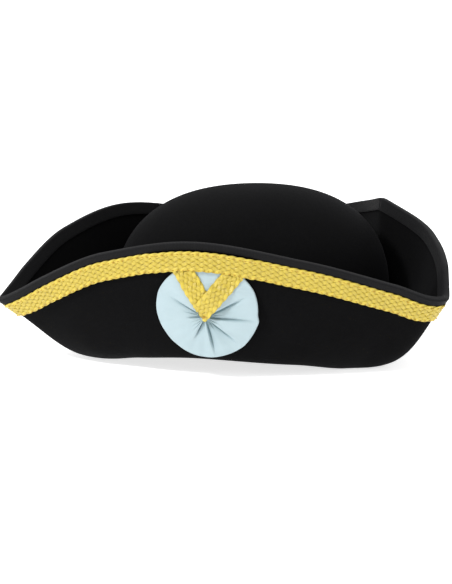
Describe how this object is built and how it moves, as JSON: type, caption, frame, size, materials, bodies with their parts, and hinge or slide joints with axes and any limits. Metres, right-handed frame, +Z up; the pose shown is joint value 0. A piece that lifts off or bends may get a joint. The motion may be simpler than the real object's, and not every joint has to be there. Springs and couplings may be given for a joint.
{
  "type": "tricorne hat",
  "caption": "Wool felt hat with a round crown and a wide brim cocked into three flaps, edged with binding and braid, with a gathered cockade on one flap.",
  "frame": {"origin": "on the surface that the hat rests on, under the middle of its outline seen from above", "axes": "+Z up, the front point towards -Y, the wearer's left side and the cockade towards +X"},
  "size_m": [0.2838, 0.3104, 0.1205],
  "materials": {
    "felt": "black blocked wool felt, matt with a short nap",
    "binding": "black ribbed edge tape folded over the brim",
    "braid": "yellow-gold plaited braid with a soft sheen",
    "cockade_cloth": "pale blue finely ribbed cloth, matt"
  },
  "bodies": {
    "root": {"hat_felt": "felt", "edge_binding": "binding", "edge_braid": "braid", "cockade": "cockade_cloth", "cockade_loop": "braid"}
  },
  "joints": []
}
